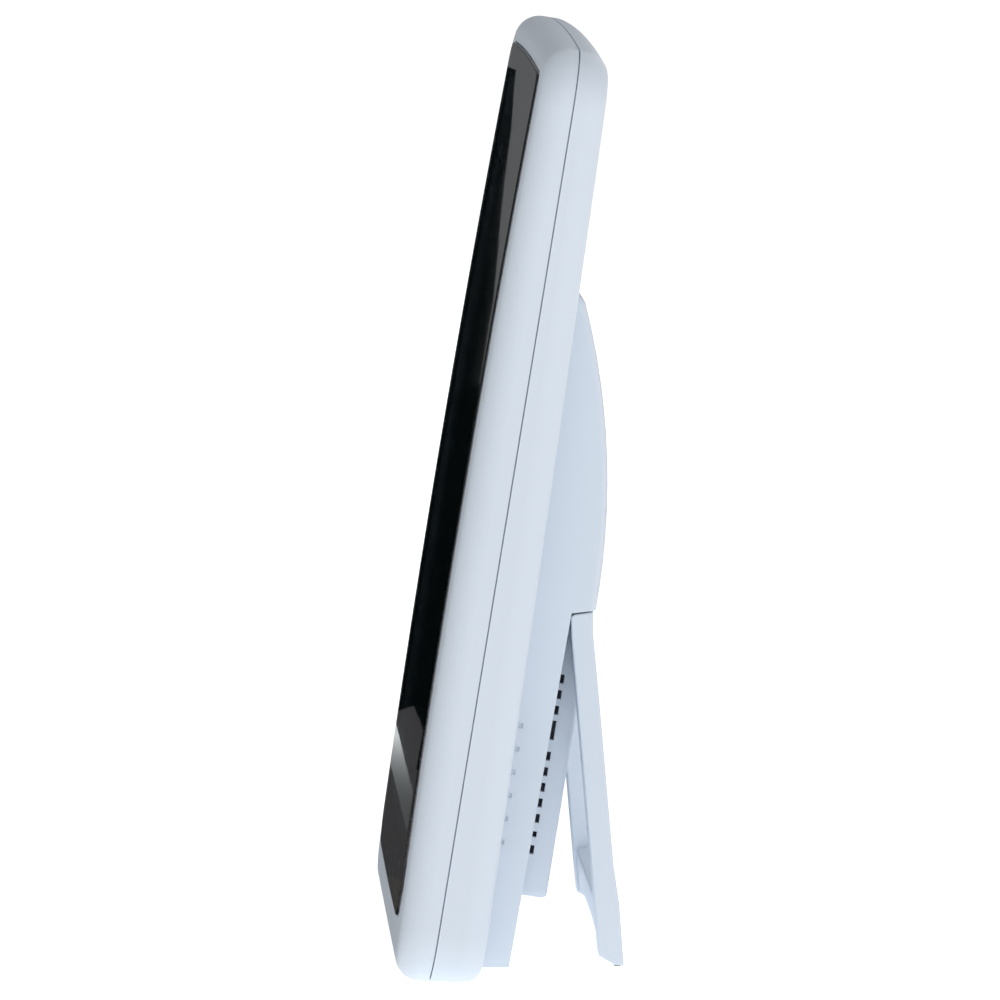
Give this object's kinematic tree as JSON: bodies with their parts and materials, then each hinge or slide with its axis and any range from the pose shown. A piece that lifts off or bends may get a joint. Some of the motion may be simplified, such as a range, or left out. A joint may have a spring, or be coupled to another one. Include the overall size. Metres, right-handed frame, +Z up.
{
  "type": "digital photo frame",
  "caption": "Free-standing portrait digital photo frame: slim two-shell plastic case with a bowed glossy front lens, rear electronics pod and a fold-out window-shaped stand.",
  "frame": {"origin": "on the table, at the middle of the underside of the standing frame's box", "axes": "+Z up; the picture faces -Y and leans back towards +Y; +X to the right of someone looking at the picture"},
  "size_m": [0.168, 0.0584, 0.2347],
  "materials": {
    "shell_plastic": "satin injection-moulded plastic",
    "lens_black": "glossy pane, printed black behind",
    "tape_black": "foam adhesive tape",
    "display_glass": "laminated display glass",
    "guide_acrylic": "clear moulded light guide",
    "tray_white": "white moulded plastic",
    "sheet_steel": "plated sheet steel",
    "screw_steel": "zinc-plated steel",
    "standoff_brass": "turned brass",
    "ribbon_film": "flexible printed film",
    "circuit_board": "solder-masked fibreglass",
    "part_black": "moulded black plastic",
    "part_aluminium": "bare aluminium",
    "gasket_foam": "closed-cell foam",
    "screen_cloth": "woven dust screen",
    "foot_rubber": "grey translucent rubber",
    "button_plastic": "polished grey plastic"
  },
  "bodies": {
    "case": {"front_bezel": "shell_plastic", "rear_shell": "shell_plastic", "front_lens": "lens_black", "lens_tape": "tape_black", "lcd_panel": "display_glass", "light_guide": "guide_acrylic", "backlight_tray": "tray_white", "display_bracket": "sheet_steel", "card_socket": "sheet_steel", "usb_socket": "sheet_steel", "case_screws": "screw_steel", "bracket_screws": "screw_steel", "board_screws": "screw_steel", "hinge_pins": "screw_steel", "coin_cell": "screw_steel", "board_standoffs": "standoff_brass", "display_ribbon": "ribbon_film", "main_board": "circuit_board", "touch_key_board": "circuit_board", "processor": "part_black", "memory_chips": "part_black", "coin_cell_holder": "part_black", "dc_jack": "part_black", "button_switch": "part_black", "speaker_1": "part_black", "speaker_2": "part_black", "heat_spreader": "part_aluminium", "capacitors": "part_aluminium", "speaker_gasket_1": "gasket_foam", "speaker_gasket_2": "gasket_foam", "dust_screens": "screen_cloth", "case_feet": "foot_rubber"},
    "stand": {"stand_frame": "shell_plastic", "stand_pads": "foot_rubber"},
    "button": {"power_button": "button_plastic"}
  },
  "joints": [
    {"name": "stand_hinge", "type": "hinge", "parent": "case", "child": "stand", "pos_m": [0, 0.01832, 0.08675], "axis": [1, 0, 0], "range_deg": [-14.5, 0]},
    {"name": "power_press", "type": "slide", "parent": "case", "child": "button", "axis": [1, 0, 0], "range_m": [0, 0.0008], "stiffness_N_per_m": 400}
  ]
}
